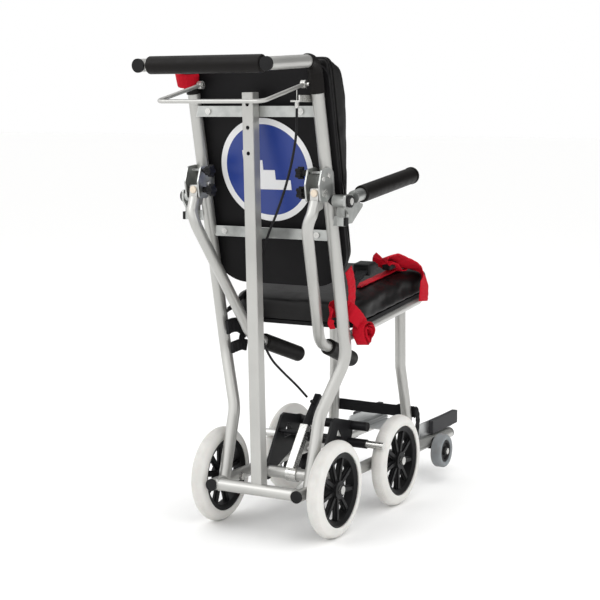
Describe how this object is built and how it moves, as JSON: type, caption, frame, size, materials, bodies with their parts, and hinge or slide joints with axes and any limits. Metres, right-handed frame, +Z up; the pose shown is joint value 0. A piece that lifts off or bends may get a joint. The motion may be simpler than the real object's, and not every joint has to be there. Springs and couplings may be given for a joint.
{
  "type": "stair chair",
  "caption": "Wheeled patient transfer chair with tubular frame, padded seat and back, folding armrests, swing-out carrying handles and bail-operated wheel brake.",
  "frame": {"origin": "on the floor, under the middle of the chair's footprint", "axes": "+Z up, +Y toward the chair's front (the way the sitter faces), +X to the sitter's right"},
  "size_m": [0.417, 0.9668, 0.9691],
  "materials": {
    "frame_silver": "satin metallic grey",
    "zinc": "satin",
    "pale_aluminium": "satin",
    "black_metal": "satin",
    "black_plastic": "matte",
    "grip_foam": "matte",
    "tyre_white": "matte",
    "tyre_grey": "matte",
    "upholstery": "semi-matte",
    "board": "matte",
    "badge": "gloss",
    "webbing_red": "woven",
    "webbing_black": "woven",
    "guard_grey": "matte"
  },
  "bodies": {
    "frame": {"armrest_brackets": "zinc", "armrest_stops": "black_plastic", "axles_and_bolts": "zinc", "back_badge": "badge", "back_board": "board", "back_cross_bars": "zinc", "back_cushion": "upholstery", "back_tubes": "frame_silver", "base_cross_tubes": "frame_silver", "base_rails": "frame_silver", "belt_pouch_left": "webbing_black", "brake_cable": "black_plastic", "cable_stop": "zinc", "calf_strap": "webbing_black", "carry_brackets": "zinc", "centre_post": "frame_silver", "elbow_covers": "grip_foam", "foot_guards": "guard_grey", "front_legs": "frame_silver", "guard_brackets": "pale_aluminium", "pad_fasteners": "zinc", "pivot_knobs": "black_plastic", "push_bar_grip": "grip_foam", "push_bar_tube": "frame_silver", "seat_belt_buckle": "black_plastic", "seat_belt_red": "webbing_red", "seat_board": "board", "seat_cushion": "upholstery", "seat_frame": "frame_silver", "small_wheel_brackets": "black_metal", "tube_end_caps": "black_plastic"},
    "rear_left_wheel": {"rear_left_tyre": "tyre_white", "rear_left_rim": "black_plastic"},
    "rear_right_wheel": {"rear_right_tyre": "tyre_white", "rear_right_rim": "black_plastic"},
    "front_left_wheel": {"front_left_tyre": "tyre_white", "front_left_rim": "black_plastic"},
    "front_right_wheel": {"front_right_tyre": "tyre_white", "front_right_rim": "black_plastic"},
    "small_wheel_left": {"small_tyre_left": "tyre_grey", "small_hub_left": "black_plastic"},
    "carry_handle_left": {"carry_tube_left": "frame_silver", "carry_grip_left": "grip_foam"},
    "armrest_left": {"armrest_left": "zinc", "armrest_grip_left": "grip_foam"},
    "lock_knob_left": {"lock_knob_left": "black_plastic"},
    "footplate_left": {"footplate_left": "pale_aluminium"},
    "small_wheel_right": {"small_tyre_right": "tyre_grey", "small_hub_right": "black_plastic"},
    "carry_handle_right": {"carry_tube_right": "frame_silver", "carry_grip_right": "grip_foam"},
    "armrest_right": {"armrest_right": "zinc", "armrest_grip_right": "grip_foam"},
    "lock_knob_right": {"lock_knob_right": "black_plastic"},
    "footplate_right": {"footplate_right": "pale_aluminium"},
    "brake_bail": {"brake_bail": "zinc"},
    "brake_rocker": {"brake_yoke": "black_metal", "brake_shoes": "zinc", "brake_lever_tube": "zinc", "brake_lever_arm": "black_metal"}
  },
  "joints": [
    {"name": "rear_left_wheel_spin", "type": "hinge", "parent": "frame", "child": "rear_left_wheel", "pos_m": [-0.1366, -0.20663, 0.1], "axis": [1, 0, 0], "continuous": true},
    {"name": "rear_right_wheel_spin", "type": "hinge", "parent": "frame", "child": "rear_right_wheel", "pos_m": [0.1366, -0.20663, 0.1], "axis": [1, 0, 0], "continuous": true},
    {"name": "front_left_wheel_spin", "type": "hinge", "parent": "frame", "child": "front_left_wheel", "pos_m": [-0.1335, 0.08487, 0.1], "axis": [1, 0, 0], "continuous": true},
    {"name": "front_right_wheel_spin", "type": "hinge", "parent": "frame", "child": "front_right_wheel", "pos_m": [0.1335, 0.08487, 0.1], "axis": [1, 0, 0], "continuous": true},
    {"name": "small_wheel_spin_left", "type": "hinge", "parent": "frame", "child": "small_wheel_left", "pos_m": [-0.1315, 0.33438, 0.0705], "axis": [1, 0, 0], "continuous": true},
    {"name": "carry_handle_swing_left", "type": "hinge", "parent": "frame", "child": "carry_handle_left", "pos_m": [-0.141, -0.28663, 0.7035], "axis": [1, 0, 0], "range_deg": [-140, 0]},
    {"name": "armrest_fold_left", "type": "hinge", "parent": "frame", "child": "armrest_left", "pos_m": [-0.187, -0.25162, 0.6875], "axis": [1, 0, 0], "range_deg": [0, 95]},
    {"name": "lock_knob_turn_left", "type": "hinge", "parent": "frame", "child": "lock_knob_left", "pos_m": [-0.115, -0.29063, 0.742], "axis": [1, 0, 0], "continuous": true},
    {"name": "footplate_fold_left", "type": "hinge", "parent": "frame", "child": "footplate_left", "pos_m": [-0.081, 0.41737, 0.1045], "axis": [0, -1, 0], "range_deg": [0, 90]},
    {"name": "small_wheel_spin_right", "type": "hinge", "parent": "frame", "child": "small_wheel_right", "pos_m": [0.1315, 0.33438, 0.0705], "axis": [1, 0, 0], "continuous": true},
    {"name": "carry_handle_swing_right", "type": "hinge", "parent": "frame", "child": "carry_handle_right", "pos_m": [0.141, -0.28663, 0.7035], "axis": [1, 0, 0], "range_deg": [-140, 0]},
    {"name": "armrest_fold_right", "type": "hinge", "parent": "frame", "child": "armrest_right", "pos_m": [0.187, -0.25162, 0.6875], "axis": [1, 0, 0], "range_deg": [0, 95]},
    {"name": "lock_knob_turn_right", "type": "hinge", "parent": "frame", "child": "lock_knob_right", "pos_m": [0.115, -0.29063, 0.742], "axis": [1, 0, 0], "continuous": true},
    {"name": "footplate_fold_right", "type": "hinge", "parent": "frame", "child": "footplate_right", "pos_m": [0.081, 0.41737, 0.1045], "axis": [0, 1, 0], "range_deg": [0, 90]},
    {"name": "brake_bail_squeeze", "type": "hinge", "parent": "frame", "child": "brake_bail", "pos_m": [0, -0.30063, 0.912], "axis": [1, 0, 0], "range_deg": [-12, 0], "stiffness_Nm_per_rad": 1.5, "springref_deg": 5.73},
    {"name": "brake_rocker_turn", "type": "hinge", "parent": "frame", "child": "brake_rocker", "pos_m": [0, -0.13662, 0.1], "axis": [1, 0, 0], "range_deg": [0, 2.4]}
  ],
  "couplings": [
    {"joint": "brake_rocker_turn", "follows": "brake_bail_squeeze", "ratio": -0.2}
  ]
}
